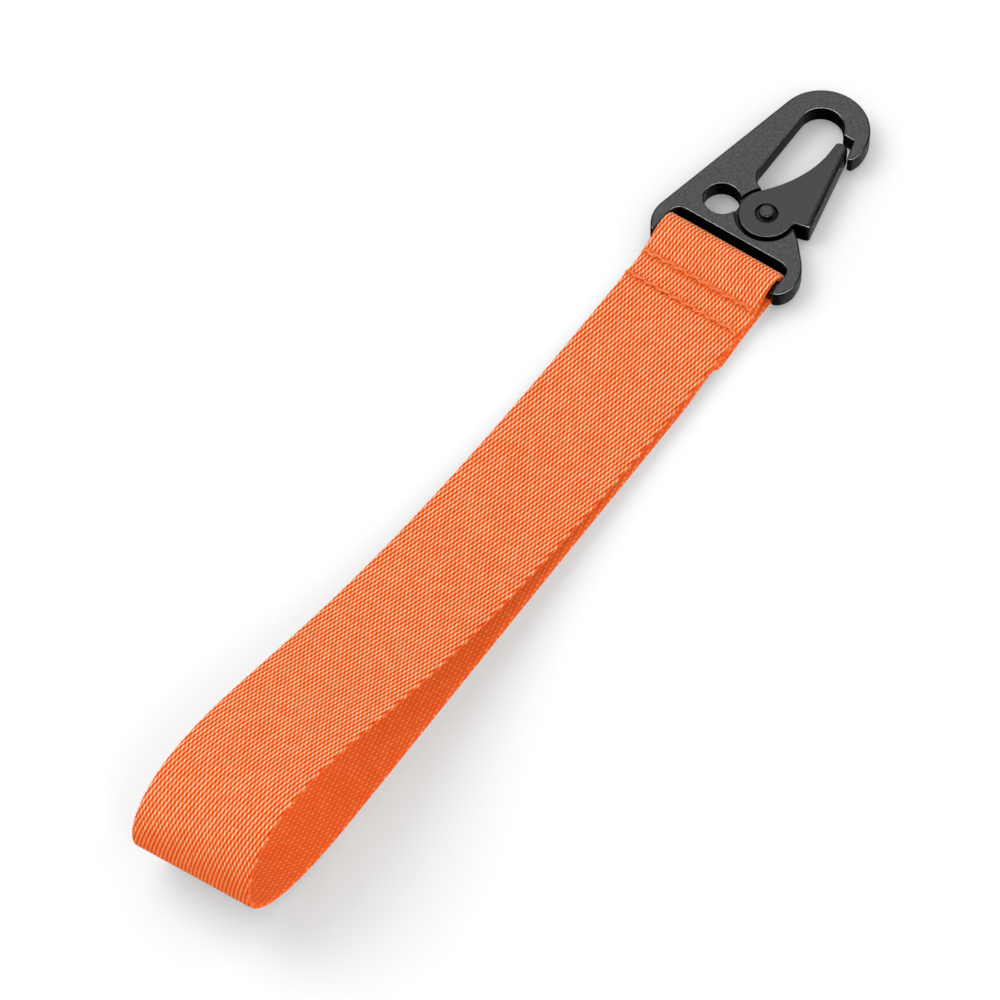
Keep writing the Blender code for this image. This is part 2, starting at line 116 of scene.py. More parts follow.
# Weave: floats stand in leaning columns
COLUMN_PITCH = 0.798
FLOAT_PITCH = 1.04
STATION_STEP = FLOAT_PITCH / 3
OUTER_COLUMNS = 100
INNER_COLUMNS = 50
COLUMN_LEAN_AT = (-40.0, 0.0, 8.0, 25.0, 80.0, 120.0, 170.0, 400.0)  # lengths from the fold's crest
COLUMN_LEAN = (0.1, 0.1, 0.12, 0.19, 0.22, 0.2, 0.2, 0.2)  # sideways way of the columns per length there
CREST_SWAY = 0.08  # how far a column winds from side to side within one float, in column pitches
SECOND_SWAY = 0.3  # share of a second, twice as fast winding
FLOAT_ENDS = 0.62  # height of a float's ends as a share of its middle's
GAP_PLACE = 0.62  # where the gap beside a column is deepest, along a float
COLUMN_WANDER = 0.05
FOLD_SPREAD = 0.05  # the columns stand this share closer over the fold's crest
FOLD_REACH = 9.0
OUTER_RELIEF = 0.1
INNER_RELIEF = 0.05
LEVEL = 0.6  # height of a float, from 0 to 1, that lies in the CAD solid's face

# Stitching
STITCHES = 8
STITCH_PITCH = 2.75
STITCH_STATIONS = 36
CHANNEL_DEPTH, CHANNEL_WIDTH = 0.16, 0.65
PIT_DEPTH, PIT_LENGTH, PIT_WIDTH = 0.22, 0.4, 0.42
SWELL_NEAR, SWELL_FAR = 0.1, 0.06  # heights of the swells on the hook's side and on the loop's side
SWELL_AWAY, SWELL_WIDTH = 1.05, 0.5
PUCKER_WIDTH, COLUMN_PUCKER, ROW_PUCKER = 0.8, 0.26, 0.2
SEAM_WIDTH = 0.75
SEAM_BULGE = {"front": 0.15, "rear": 0.35}  # how far each row pushes the webbing's edges out
BULGE_WIDTH = 0.6
THREAD_SLANT = 0.7  # each stitch leans by this much from one hole to the next
THREAD_WANDER = 0.05
NEEDLE_RISE = 0.11  # how much higher the upper thread lies than its plain CAD solid
BOBBIN_RISE = 0.2
HOLE_DIP = 0.5  # how deep a thread goes into a hole
HOLE_WIDTH = 0.32
END_DIP = 1.2  # and at a row's ends, as a share of that
THREAD_REACH = 4.36  # half the length of a row, in stitches
THREAD_END = 0.2
PLY_RADIUS = 0.18
PLY_OFFSET = 0.15
PLY_TWIST = 1.35  # length of one full turn of the two plies

# Spring and rivet
WIRE_RADIUS = 0.22
COIL_RADIUS = 2.35
COIL_TURNS = 2.4
COIL_STATIONS = 116
LONG_LEG_ANGLE = math.radians(78.0)
SHORT_LEG, LONG_LEG = 3.2, 12.4
LEG_START = 0.25  # gap between the coil's end and a leg's first point
RIVET_HEAD = [(1.5, -1.36), (1.88, -1.34), (1.92, -1.29), (1.88, -1.23), (1.48, -1.16),
              (1.43, -0.3), (1.4, -0.14), (1.33, -0.04), (1.22, 0.0), (0.6, 0.02)]  # radius, height
RIVET_STEPS = 96

# Camera: the viewing angle of the product shot
VIEW_AZIMUTH = 34.68
VIEW_ELEVATION = 57.86
VIEW_DISTANCE = 1300.0
VIEW_AIM = (-4.46, -65.2, 0.0)
LENS = 255.0
SENSOR = 36.0
CLIP_START, CLIP_END = 50.0, 20000.0

# Floor and lights
FLOOR_REACH = 3000.0
FLOOR_Z = -0.02
FLOOR_COLOR = (0.84, 0.85, 0.855, 1.0)
FLOOR_GLOW = 0.12
LIGHT_AIM = (0.0, -60.0, 0.0)
KEY_LIGHT = {"azimuth": -75.0, "elevation": 58.0, "distance": 1300.0, "size": 900.0, "power": 5.2}
RIM_LIGHT = {"azimuth": VIEW_AZIMUTH + 15.0, "elevation": 50.0, "distance": 1400.0, "size": 350.0,
             "power": 1.5}

# The room's light on cloth and table, and the directions, edges and strengths of what the metal mirrors
ROOM_LIGHT = 0.8
MIRRORED_DARK = 0.02
MIRRORED_WALL = (-0.303, 0.438, 0.847)
WALL_EDGE = (0.92, 0.98)
WALL_LIGHT = 2.15
BAND_SIDE = (0.5, -0.87, 0.0)
BAND_SIDE_EDGE = (-0.3, 0.5)
BAND_LOW_EDGE, BAND_HIGH_EDGE = (0.16, 0.36), (0.66, 0.5)
BAND_LIGHT = 26.0
UNDER_GLOW = (0.35, 0.3, -0.887)
UNDER_EDGE = (0.78, 0.95)
UNDER_LIGHT = 0.24


# ---------------------------------------------------------------- meshes

def piece(name, verts, faces, materials, slot_of_face=None):
    """A smoothly shaded mesh object from points in millimetres."""
    mesh = bpy.data.meshes.new(name)
    mesh.from_pydata((np.asarray(verts, float) * MM).tolist(), [], [list(map(int, f)) for f in faces])
    for made in materials:
        mesh.materials.append(made)
    if slot_of_face is not None:
        mesh.polygons.foreach_set("material_index", np.asarray(slot_of_face, np.int32))
    mesh.shade_smooth()
    mesh.update()
    obj = bpy.data.objects.new(name, mesh)
    bpy.context.scene.collection.objects.link(obj)
    return obj


def bezier(p0, p1, p2, p3, count):
    t = np.linspace(0.0, 1.0, count + 1)[:, None]
    s = 1.0 - t
    points = [np.array(p, float) for p in (p0, p1, p2, p3)]
    return s**3 * points[0] + 3 * s * s * t * points[1] + 3 * s * t * t * points[2] + t**3 * points[3]


def smooth_step(x, low, high):
    t = np.clip((x - low) / (high - low), 0.0, 1.0)
    return t * t * (3 - 2 * t)


def bump(x, width):
    return np.exp(-(x / width) ** 2)


def along_line(line):
    """The length from a line's start to each of its points."""
    return np.concatenate([[0.0], np.cumsum(np.linalg.norm(np.diff(line, axis=0), axis=1))])


def directions(line):
    ahead = np.gradient(line, axis=0)
    return ahead / np.linalg.norm(ahead, axis=1, keepdims=True)


def ring_faces(rings, around):
    """Quads between successive closed rings of points, and a flat face over the first and the last ring."""
    k = np.arange(around)
    after = (k + 1) % around
    base = (np.arange(rings - 1) * around)[:, None]
    quads = np.stack([base + k, base + after, base + around + after, base + around + k], axis=-1)
    last = (rings - 1) * around
    caps = [list(range(around))[::-1], list(range(last, last + around))]
    return quads.reshape(-1, 4).tolist() + caps


# ---------------------------------------------------------------- webbing

def webbing_line():
    """The webbing's middle line as (y, z), from the tail under the bar to the tongue inside the fold.

    The two middle points of each Bezier curve only shape its bend.
    """
    floor_z = THICK / 2
    tongue_z = THICK * 1.5 + LAYER_GAP
    stack_z = THICK * 2.5 + LAYER_GAP * 2
    end_y, top_z = STRAP_LOW.y + LOOP_YAW + THICK / 2, STRAP_HIGH.z / (1 + LOOP_ROLL) - THICK / 2
    top_y = end_y + LOOP_TURN
    angles = np.radians(np.linspace(FOLD_START, 90, 51))[:, None]
    fold = np.hstack([FOLD_MIDDLE * np.cos(angles), BAR.z + FOLD_MIDDLE * np.sin(angles)])
    fold_z = BAR.z + FOLD_MIDDLE
    parts = [
        bezier((TAIL_END_Y, floor_z), (-13.0, floor_z), (-6.0, floor_z), (FOLD_FLAT_Y, floor_z), 40),
        fold,
        bezier((0.0, fold_z), (-3.8, fold_z), (-5.2, stack_z), (STACK_Y, stack_z), 60),
        bezier((STACK_Y, stack_z), (-15.0, stack_z), (-20.0, stack_z), (STACK_END_Y, stack_z), 40),
        bezier((STACK_END_Y, stack_z), (-110.0, stack_z), (-130.0, top_z), (top_y, top_z), 300),
        bezier((top_y, top_z), (-161.0, top_z), (end_y, 23.0), (end_y, LOOP_END_Z), 100),
        bezier((end_y, LOOP_END_Z), (end_y, 6.5), (-155.0, floor_z), (LOWER_RUN_Y, floor_z), 120),
        bezier((LOWER_RUN_Y, floor_z), (-100.0, floor_z), (-65.0, floor_z), (TONGUE_FOOT_Y, floor_z), 150),
        bezier((TONGUE_FOOT_Y, floor_z), (-27.5, floor_z), (-25.0, tongue_z), (TONGUE_FLAT_Y, tongue_z), 40),
        bezier((TONGUE_FLAT_Y, tongue_z), (-16.0, tongue_z), (-10.0, tongue_z), (TONGUE_END_Y, tongue_z), 40),
    ]
    return np.vstack([parts[0]] + [part[1:] for part in parts[1:]])


class Webbing:
    """The middle line at even stations, with lengths counted from the top of the fold."""

    def __init__(self):
        line = webbing_line()
        length = along_line(line)
        crest = length[np.argmin(np.hypot(line[:, 0], line[:, 1] - (BAR.z + FOLD_MIDDLE)))]
        self.total = length[-1]
        self.at = self.stations()
        self.s = self.at - crest
        self.y = np.interp(self.at, length, line[:, 0])
        self.z = np.interp(self.at, length, line[:, 1])
        step = 0.2
        before, after = self.at - step, self.at + step
        dy = np.interp(after, length, line[:, 0]) - np.interp(before, length, line[:, 0])
        dz = np.interp(after, length, line[:, 1]) - np.interp(before, length, line[:, 1])
        size = np.hypot(dy, dz)
        self.ty, self.tz = dy / size, dz / size

    def stations(self):
        """Even stations, crowded at the two cut ends so that their corners can be rounded."""
        at = np.linspace(0.0, self.total, round(self.total / STATION_STEP) + 1)
        corner = END_CORNER * (1 - np.sin(np.linspace(0, math.pi / 2, CORNER_STATIONS)))
        middle = at[(at > END_CORNER) & (at < self.total - END_CORNER)]
        return np.concatenate([corner[::-1], middle, self.total - corner])

    def end_pull(self):
        """How much narrower each half of the webbing is at its rounded cut ends."""
        near = np.minimum(self.at, self.total - self.at)
        inside = np.clip(1.0 - near / END_CORNER, 0.0, 1.0)
        return END_CORNER * (1.0 - np.sqrt(1.0 - inside**2))


def column_shift(s):
    """How far the leaning columns have moved across the webbing at length s from the fold's crest."""
    fine = np.linspace(COLUMN_LEAN_AT[0], COLUMN_LEAN_AT[-1], 4401)
    total = np.cumsum(np.interp(fine, COLUMN_LEAN_AT, COLUMN_LEAN)) * (fine[1] - fine[0])
    return np.interp(s, fine, total - np.interp(0.0, fine, total))


def weave_coordinates(u, s, y, sewn):
    """(column, float) numbers of a place on the webbing; both wander a little, and pucker at the seams."""
    wander = COLUMN_WANDER * (np.sin(u * 0.43 + s * 0.031) + np.sin(s * 0.17 - u * 0.11))
    column = (u * (1 + FOLD_SPREAD * bump(s, FOLD_REACH)) + column_shift(s)) / COLUMN_PITCH + wander
    row = s / FLOAT_PITCH + 0.06 * np.sin(u * 0.31 + 1.3) + 0.04 * np.sin(u * 1.1 + s * 0.07)
    for row_y in ROWS.values():
        near = bump(y - row_y, PUCKER_WIDTH) * sewn
        column = column + COLUMN_PUCKER * near * np.sin(TAU * u / STITCH_PITCH + 0.7)
        row = row + ROW_PUCKER * near * np.sin(TAU * u / 1.9)
    return column, row


def float_height(column, row):
    """0 in the gaps, 1 on the crest of a float."""
    sway = CREST_SWAY * (np.sin(TAU * row) + SECOND_SWAY * np.sin(2 * TAU * row))
    across = 0.5 + 0.5 * np.cos(TAU * (column + sway))
    along = 0.5 - 0.5 * np.cos(TAU * row)
    return across * (FLOAT_ENDS + (1.0 - FLOAT_ENDS) * along)


def seam_depth(u, y, sewn):
    """How deep the threads pull the face down along each row, with a pit at every needle hole.

    On both sides of a row the webbing swells up a little, most of all beside the holes.
    """
    beside_hole = 1 + 0.5 * np.cos(TAU * u / STITCH_PITCH)
    to_hole = ((u / STITCH_PITCH + 0.5) % 1.0 - 0.5) * STITCH_PITCH
    depth = 0.0
    for row_y in ROWS.values():
        away = y - row_y
        channel = CHANNEL_DEPTH * bump(away, CHANNEL_WIDTH)
        swell = SWELL_NEAR * bump(away - SWELL_AWAY, SWELL_WIDTH)
        swell = swell + SWELL_FAR * bump(away + SWELL_AWAY, SWELL_WIDTH)
        pit = PIT_DEPTH * bump(away, PIT_LENGTH) * bump(to_hole, PIT_WIDTH)
        depth = depth + (channel - swell * beside_hole + pit) * sewn
    return depth


def seam_share(y, on_top):
    """1 along the stitch rows, where the floats are pressed together, and 0 away from them."""
    return sum(bump(y - row_y, SEAM_WIDTH) for row_y in ROWS.values()) * on_top


def seam_bulge(y, on_top):
    return sum(SEAM_BULGE[row] * bump(y - row_y, BULGE_WIDTH) for row, row_y in ROWS.items()) * on_top


def lean(place):
    """Leans the loop over, as it lies in the CAD solid: the stitched end stays level."""
    x, y, z = place[..., 0], place[..., 1], place[..., 2]
    share = np.clip((LOOP_START_Y - y) / LOOP_LEAN_LENGTH, 0.0, 1.0)
    side = x / HALF_WIDTH
    far = np.clip(y / STRAP_LOW.y, 0.0, None) ** 4
    return np.stack([x + LOOP_SHIFT * share, y + LOOP_YAW * side * share * far,
                     z * (1.0 + LOOP_ROLL * side * share)], axis=-1)


def webbing_face(webbing, share, relief, side):
    """One broad face, outer (side 1) or inner (-1): points, weave coordinates and seam shares.

    Each has a line per station and a column for each number in share, -1 to 1 across the webbing.
    """
    s, y = webbing.s[:, None], webbing.y[:, None]
    on_top = ((s > TOP_RUN[0]) & (s < TOP_RUN[1])).astype(float)
    sewn = (s < TOP_RUN[1]).astype(float)  # the top run and the tail under it
    half = HALF_WIDTH - webbing.end_pull()[:, None] + seam_bulge(y, on_top)
    u = share * half
    column, row = weave_coordinates(u, s, y, sewn)
    edge = np.clip((np.abs(u) - half + EDGE_WIDTH) / EDGE_WIDTH, 0.0, 1.0)
    round_off = EDGE_ROUNDING * (1.0 - np.sqrt(np.clip(1.0 - edge**2, 0.0, 1.0)))
    lift = THICK / 2 - round_off + relief * (float_height(column, row) - LEVEL) * (1 - edge)
    if side > 0:
        lift = lift - seam_depth(u, y, sewn)
    drift = TAIL_DRIFT * smooth_step(-s, *TAIL_DRIFT_ALONG)
    teeth = EDGE_TEETH * np.sin(TAU * row) * edge * np.sign(u)
    face_y = y + webbing.tz[:, None] * lift * side
    face_z = webbing.z[:, None] - webbing.ty[:, None] * lift * side
    place = lean(np.stack([u + drift + teeth, face_y, face_z], axis=-1))
    return place, column, row, np.broadcast_to(seam_share(y, on_top), u.shape)


def add_webbing():
    webbing = Webbing()
    outer = webbing_face(webbing, np.linspace(1.0, -1.0, OUTER_COLUMNS + 1), OUTER_RELIEF, 1.0)
    inner = webbing_face(webbing, np.linspace(-1.0, 1.0, INNER_COLUMNS + 1), INNER_RELIEF, -1.0)
    place, column, row, seam = (np.concatenate(both, axis=1) for both in zip(outer, inner))
    rings, around = place.shape[:2]
    slots = np.tile(np.arange(around) > OUTER_COLUMNS, rings - 1)
    obj = piece("webbing", place.reshape(-1, 3), ring_faces(rings, around),
                [webbing_material("webbing_outer", True), webbing_material("webbing_inner", False)],
                np.concatenate([slots, [0, 0]]))
    put_uv(obj.data, column.ravel(), row.ravel())
    share = obj.data.attributes.new("seam", "FLOAT", "POINT")
    share.data.foreach_set("value", seam.ravel().astype(np.float32))
    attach(obj, "wrist_loop")
    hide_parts("webbing_strap")


def put_uv(mesh, u, v):
    """Stores the weave coordinates of each point as the mesh's UV map."""
    layer = mesh.uv_layers.new(name="weave")
    corner = np.empty(len(mesh.loops), np.int32)
    mesh.loops.foreach_get("vertex_index", corner)
    layer.data.foreach_set("uv", np.stack([u[corner], v[corner]], axis=-1).astype(np.float32).ravel())


# ---------------------------------------------------------------- tubes and threads

def tube(points, radius, sides):
    """(points, faces) of a closed tube round a line of points."""
    ahead = directions(points)
    normal = np.cross(ahead[0], (0.3, 0.5, 0.8))  # any direction across the line's start
    ring = []
    for here, forward in zip(points, ahead):
        normal = normal - forward * (normal @ forward)
        normal = normal / np.linalg.norm(normal)
        other = np.cross(forward, normal)
        for k in range(sides):
            a = TAU * k / sides
            ring.append(here + radius * (math.cos(a) * normal + math.sin(a) * other))
    return np.array(ring), ring_faces(len(points), sides)


def plied(line):
    """(points, faces) of two plies wound round each other along a line."""
    ahead = directions(line)
    side = np.cross(ahead, (0.0, 1.0, 0.0))
    side /= np.linalg.norm(side, axis=1, keepdims=True)
    other = np.cross(ahead, side)
    turn = (TAU * along_line(line) / PLY_TWIST)[:, None]
    verts, faces = [], []
    for start in (0.0, math.pi):
        wound = line + PLY_OFFSET * (np.cos(turn + start) * side + np.sin(turn + start) * other)
        points, quads = tube(wound, PLY_RADIUS, 8)
        faces += [[i + len(verts) for i in f] for f in quads]
        verts += points.tolist()
    return verts, faces


def thread_line(y, run_z, dip):
    """A thread's way along a row: over each stitch at a slant, and pulled into the hole between two."""
    x = np.linspace(-THREAD_REACH, THREAD_REACH, STITCHES * STITCH_STATIONS + 1)
    to_hole = np.abs((x + 0.5) % 1.0 - 0.5) * STITCH_PITCH
    pulled = bump(to_hole, HOLE_WIDTH)
    from_middle = x % 1.0 - 0.5
    slant = THREAD_SLANT * from_middle * (1 - pulled)
    ends = smooth_step(np.abs(x), THREAD_REACH - THREAD_END, THREAD_REACH)
    z = run_z + dip * np.maximum(pulled, END_DIP * ends)
    return np.stack([x * STITCH_PITCH, y + slant + THREAD_WANDER * np.sin(TAU * x * 0.37), z], axis=-1)


def add_threads():
    look = thread_material()
    for row, y in ROWS.items():
        for kind in ("needle", "bobbin"):
            node = f"{kind}_thread_{row}"
            low, high = frame_box(node)
            if kind == "needle":
                line = thread_line(y, high.z + NEEDLE_RISE, -HOLE_DIP)
            else:
                line = thread_line(y, low.z + BOBBIN_RISE, HOLE_DIP)
            obj = piece(node + "_plied", *plied(line), [look])
            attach(obj, "wrist_loop")
            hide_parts(node)


# ---------------------------------------------------------------- spring and rivet

def leg(start, angle, nearest, farthest, count):
    """A straight leg from a point of the coil, between these distances from it."""
    return start + np.outer(np.linspace(nearest, farthest, count), (math.cos(angle), math.sin(angle), 0.0))


def add_spring():
    """The gate's spring, one wire: on the clip its coil stays with the hook and its long leg goes with the
    gate, but this wire is attached to neither.
    """
    low, high = frame_box("torsion_spring")
    last = LONG_LEG_ANGLE - math.pi / 2
    first = last - COIL_TURNS * TAU
    angle = np.linspace(first, last, COIL_STATIONS)
    winding = np.stack([PIVOT.x + COIL_RADIUS * np.cos(angle), PIVOT.y + COIL_RADIUS * np.sin(angle),
                        np.linspace(high.z - WIRE_RADIUS, low.z + WIRE_RADIUS, COIL_STATIONS)], axis=-1)
    short = leg(winding[0], first - math.pi / 2, SHORT_LEG, LEG_START, 9)
    long = leg(winding[-1], LONG_LEG_ANGLE, LEG_START, LONG_LEG, 40)
    verts, faces = tube(np.vstack([short, winding, long]), WIRE_RADIUS, 12)
    obj = piece("torsion_spring_wire", verts, faces, [steel_material()])
    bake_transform(obj)
    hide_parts("torsion_spring")


def turned(profile, centre, steps):
    """(points, faces) of a closed solid turned round a vertical axis; the profile is (radius, height)."""
    angle = np.arange(steps) * TAU / steps
    x, y = np.cos(angle), np.sin(angle)
    rings = [np.stack([centre.x + r * x, centre.y + r * y, np.full(steps, z)], axis=-1) for r, z in profile]
    return np.vstack(rings), ring_faces(len(profile), steps)


def add_rivet(look):
    """The rivet: a flat-topped head stands out of the counterbore on either side."""
    top = frame_box("pivot_rivet")[1].z - PIVOT.z
    upper = [(r, PIVOT.z + top + z) for r, z in RIVET_HEAD]
    lower = [(r, PIVOT.z - top - z) for r, z in reversed(RIVET_HEAD)]
    obj = piece("pivot_rivet_turned", *turned(lower + upper, PIVOT, RIVET_STEPS), [look])
    soften(obj)
    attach(obj, "snap_hook")
    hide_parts("pivot_rivet")


def soften(obj):
    """Smooth shading that keeps sharp edges sharp and flat faces flat."""
    split = obj.modifiers.new("Sharp edges", "EDGE_SPLIT")
    split.split_angle = math.radians(32.0)
    obj.modifiers.new("Flat faces stay flat", "WEIGHTED_NORMAL")


# ---------------------------------------------------------------- node graphs

class Graph:
    """The node tree of a material or a world, with short calls for the nodes used here."""

    def __init__(self, owner, shader="Principled BSDF"):
        owner.use_nodes = True
        self.owner = owner
        self.tree = owner.node_tree
        self.shader = self.tree.nodes[shader]

    def node(self, kind, **settings):
        made = self.tree.nodes.new("ShaderNode" + kind)
        for key, value in settings.items():
            setattr(made, key, value)
        return made

    def feed(self, socket, value):
        if isinstance(value, bpy.types.NodeSocket):
            self.tree.links.new(value, socket)
        else:
            socket.default_value = value

    def feed_all(self, made, *values):
        for socket, value in zip(made.inputs, values):
            self.feed(socket, value)
        return made

    def math(self, operation, *values, clamp=False):
        return self.feed_all(self.node("Math", operation=operation, use_clamp=clamp), *values).outputs[0]

    def vector(self, operation, *values):
        """The vector operation's node: some give a vector, others a number."""
        return self.feed_all(self.node("VectorMath", operation=operation), *values)

    def dot(self, vector, other):
        return self.vector("DOT_PRODUCT", vector, other).outputs["Value"]

    def mix(self, share, first, second):
        return self.feed_all(self.node("MixRGB"), share, first, second).outputs[0]

    def ramp(self, value, stops):
        made = self.feed_all(self.node("ValToRGB"), value)
        elements = made.color_ramp.elements
        while len(elements) < len(stops):
            elements.new(0.5)
        for element, (at, color) in zip(elements, stops):
            element.position = at
            element.color = (*color, 1.0)
        return made.outputs[0]

    def noise(self, where, scale, detail):
        made = self.node("TexNoise")
        self.feed(made.inputs["Vector"], where)
        made.inputs["Scale"].default_value = scale
        made.inputs["Detail"].default_value = detail
        return made.outputs["Fac"]

    def between(self, value, low, high):
        """value from 0..1 spread over low..high."""
        return self.math("MULTIPLY_ADD", value, high - low, low)

    def step(self, value, low, high):
        """0 up to low, 1 from high on, smooth between; the other way round if high is the smaller."""
        made = self.node("MapRange", interpolation_type="SMOOTHSTEP")
        for key, number in (("Value", value), ("From Min", low), ("From Max", high)):
            self.feed(made.inputs[key], number)
        return made.outputs[0]

    def open_sky(self, reach):
        """How freely light comes in within this reach: 1 on open faces, less in corners and holes."""
        made = self.node("AmbientOcclusion", samples=6)
        made.inputs["Distance"].default_value = reach * MM
        return made.outputs["AO"]

    def bump(self, height, distance, normal=None):
        made = self.node("Bump")
        made.inputs["Strength"].default_value = 1.0
        made.inputs["Distance"].default_value = distance * MM
        self.feed(made.inputs["Height"], height)
        if normal is not None:
            self.feed(made.inputs["Normal"], normal)
        return made.outputs["Normal"]

    def put(self, **values):
        for key, value in values.items():
            self.feed(self.shader.inputs[key.replace("_", " ")], value)


def srgb(r, g, b):
    """Linear colour of an 8-bit screen colour."""
    return tuple(c / 12.92 if c <= 0.04045 else ((c + 0.055) / 1.055) ** 2.4
                 for c in (r / 255, g / 255, b / 255))


# ---------------------------------------------------------------- cloth

# Colours of the yarn from its darkest to its palest places: the darkest stops are painted shade in the
# weave's gaps, the palest are painted highlights on the floats' crests. The thread's colours follow a random
# fine noise, and its palest stop is a painted highlight.
OUTER_YARN_PAINTED_LIGHT = [(0.0, srgb(235, 58, 6)), (0.3, srgb(236, 90, 24)), (0.62, srgb(240, 142, 76)),
              (1.0, srgb(251, 220, 186))]
INNER_YARN_PAINTED_LIGHT = [(0.0, srgb(232, 78, 24)), (0.35, srgb(236, 102, 44)), (1.0, srgb(250, 190, 136))]
THREAD = [(0.25, srgb(234, 80, 22)), (0.55, srgb(244, 128, 62)), (0.85, srgb(255, 214, 164))]

# What diffuse light takes along from the webbing: nearly neutral, so that it doesn't tint the table
OUTER_BOUNCE = (0.52, 0.46, 0.43, 1.0)
INNER_BOUNCE = (0.56, 0.43, 0.37, 1.0)
LIGHT_THROUGH = 0.27  # glow of the inner face by the light that comes through the cloth
ABOVE = (0.4, 0.75)  # the glow shows in views from above; rise of the line of sight, from none to full

# How pale the weave is painted, from 0 to 1: what each part of the pattern adds. The crests and the inner
# face's dots get painted highlights, and the gaps get painted shade.
OUTER_BASE, OUTER_CREST, OUTER_GAP = 0.12, 0.92, -0.12
INNER_BASE, INNER_DOT, DOT_POWER = 0.14, 0.55, 1.5
PAIRED_YARNS, RIPPLE = -0.14, 0.08
CHANCE, CLOUDS, CLOUD_SCALE = 0.06, 0.05, 180.0
PRESSED_LIGHT, PRESSED_SHARE = 0.34, 0.5  # what the seam evens the painted highlights and shade out to, and how much
TURNED_DOWN, TURNED_UP = -0.1, 0.8  # painted shade: rise of the normal where the outer face is painted darkest and palest
# share of the paleness left on faces turned down: painted shade
UNDERSIDE_PAINTED_SHADE = 0.72
FIBRE_STRETCH = (7.0, 0.7, 1.0)


def weave_pattern(g, uv):
    """Sockets of the weave: crest, gap, dots, fine yarns, and a chance number for each float."""
    column, row = g.feed_all(g.node("SeparateXYZ"), uv).outputs[:2]
    turn = g.math("MULTIPLY", row, TAU)
    second = g.math("SINE", g.math("MULTIPLY", turn, 2.0))
    sway = g.math("MULTIPLY_ADD", second, SECOND_SWAY, g.math("SINE", turn))
    moved = g.math("MULTIPLY_ADD", sway, CREST_SWAY, column)
    across = g.math("MULTIPLY_ADD", g.math("COSINE", g.math("MULTIPLY", moved, TAU)), 0.5, 0.5)
    ripple = g.math("COSINE", turn)
    along = g.math("MULTIPLY_ADD", ripple, -0.5, 0.5)
    crest = g.math("MULTIPLY", across, g.between(along, FLOAT_ENDS, 1.0))
    past_gap = g.math("MULTIPLY_ADD", row, TAU, -GAP_PLACE * TAU)
    near_gap = g.math("MULTIPLY_ADD", g.math("COSINE", past_gap), 0.5, 0.5)
    gap = g.math("MULTIPLY", g.math("SUBTRACT", 1.0, across), near_gap)
    dots = g.math("POWER", g.math("MULTIPLY", across, along), DOT_POWER)
    pair = g.math("COSINE", g.math("SUBTRACT", g.math("MULTIPLY", moved, 2 * TAU), turn))
    fine = g.math("MULTIPLY_ADD", pair, PAIRED_YARNS, g.math("MULTIPLY", ripple, RIPPLE))
    cell = g.feed_all(g.node("CombineXYZ"), g.math("ROUND", moved), g.math("FLOOR", row))
    chance = g.feed_all(g.node("TexWhiteNoise", noise_dimensions="2D"), cell.outputs[0])
    return crest, gap, dots, fine, chance.outputs["Value"]


def weave_light(g, uv, outer):
    """How pale each place of the webbing is painted, from 0 to 1, with painted highlights on the crests and
    painted shade in the gaps, and the height of its crests.
    """
    crest, gap, dots, fine, chance = weave_pattern(g, uv)
    if outer:
        crests = g.math("MULTIPLY_ADD", crest, OUTER_CREST, OUTER_BASE)
        light = g.math("MULTIPLY_ADD", gap, OUTER_GAP, crests)
    else:
        light = g.math("MULTIPLY_ADD", dots, INNER_DOT, INNER_BASE)
    light = g.math("ADD", g.math("ADD", light, fine), g.between(chance, -CHANCE, CHANCE))
    seam = g.node("Attribute", attribute_name="seam").outputs["Fac"]
    pressed = g.math("MULTIPLY", seam, PRESSED_SHARE)
    light = g.math("MULTIPLY_ADD", g.math("SUBTRACT", PRESSED_LIGHT, light), pressed, light)
    cloudy = g.noise(g.node("TexCoord").outputs["Object"], CLOUD_SCALE, 3.0)
    light = g.math("ADD", light, g.between(cloudy, -CLOUDS, CLOUDS), clamp=True)
    # painted shade: the outer face is painted darker where it turns down
    if outer:
        upward = g.step(g.dot(g.node("NewGeometry").outputs["Normal"], UP), TURNED_DOWN, TURNED_UP)
        light = g.math("MULTIPLY", light, g.between(upward, UNDERSIDE_PAINTED_SHADE, 1.0))
    return light, crest


def webbing_material(name, outer):
    g = Graph(bpy.data.materials.new(name))
    uv = g.node("UVMap", uv_map="weave").outputs[0]
    light, crest = weave_light(g, uv, outer)
    # the weave's painted highlights and shade become colour here
    shown = g.ramp(light, OUTER_YARN_PAINTED_LIGHT if outer else INNER_YARN_PAINTED_LIGHT)
    bounced = g.node("LightPath").outputs["Is Diffuse Ray"]
    color = g.mix(bounced, shown, OUTER_BOUNCE if outer else INNER_BOUNCE)
    stretch = g.node("Mapping")
    g.feed(stretch.inputs["Vector"], uv)
    stretch.inputs["Scale"].default_value = FIBRE_STRETCH
    fibres = g.noise(stretch.outputs[0], 1.6, 2.0)
    normal = g.bump(g.math("MULTIPLY_ADD", fibres, 0.25, crest), 0.16 if outer else 0.06)
    g.put(Base_Color=color, Roughness=g.between(fibres, 0.5, 0.68), Normal=normal,
          Sheen_Weight=0.05, Sheen_Roughness=0.4, Sheen_Tint=(*srgb(255, 200, 160), 1.0),
          Specular_IOR_Level=0.015)
    if not outer:
        from_above = g.step(g.dot(g.node("NewGeometry").outputs["Incoming"], UP), *ABOVE)
        glow = g.math("MULTIPLY", from_above, LIGHT_THROUGH)
        not_bounced = g.between(bounced, 1.0, 0.0)
        g.put(Emission_Color=shown, Emission_Strength=g.math("MULTIPLY", glow, not_bounced))
    return g.owner


def thread_material():
    g = Graph(bpy.data.materials.new("thread_orange"))
    fibres = g.noise(g.node("TexCoord").outputs["Object"], 9000.0, 2.0)
    g.put(Base_Color=g.ramp(fibres, THREAD), Roughness=0.5, Normal=g.bump(fibres, 0.04),
          Sheen_Weight=0.05, Specular_IOR_Level=0.25)
    return g.owner


# ---------------------------------------------------------------- metal

